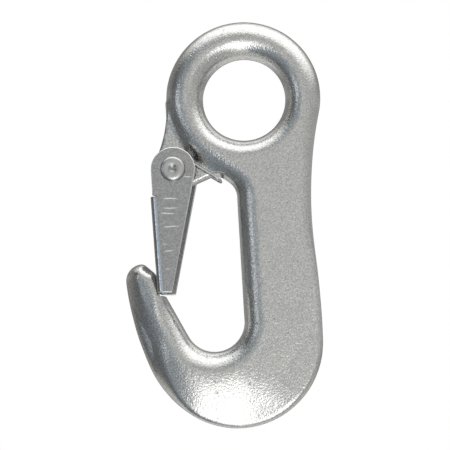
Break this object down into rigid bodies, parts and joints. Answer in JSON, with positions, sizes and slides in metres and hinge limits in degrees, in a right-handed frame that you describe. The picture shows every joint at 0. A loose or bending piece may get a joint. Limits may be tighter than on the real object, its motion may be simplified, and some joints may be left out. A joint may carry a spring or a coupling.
{
  "type": "eye hook with latch",
  "caption": "Forged steel eye hook with a sheet-metal safety latch that swings inward on a headed rivet and is closed by a double torsion spring.",
  "frame": {"origin": "centre of the eye's hole, in the middle plane of the forging", "axes": "+Z from the bowl up to the eye, +X from the latch side to the shank's back, +Y through the eye's hole"},
  "size_m": [0.0647, 0.0188, 0.1345],
  "materials": {
    "forged_steel": "zinc plated over shot-blasted forging, satin",
    "sheet_steel": "zinc plated cold-rolled sheet, satin",
    "rivet_steel": "zinc plated, smooth",
    "spring_steel": "bright drawn wire"
  },
  "bodies": {
    "hook": {"hook_body": "forged_steel", "latch_spring": "spring_steel"},
    "latch": {"latch": "sheet_steel", "pivot_rivet": "rivet_steel"}
  },
  "joints": [
    {"name": "latch_pivot", "type": "hinge", "parent": "hook", "child": "latch", "pos_m": [-0.0227, 0, -0.024], "axis": [0, -1, 0], "range_deg": [0, 36], "stiffness_Nm_per_rad": 0.08, "springref_deg": -85.94, "deforming": ["latch_spring"]}
  ]
}
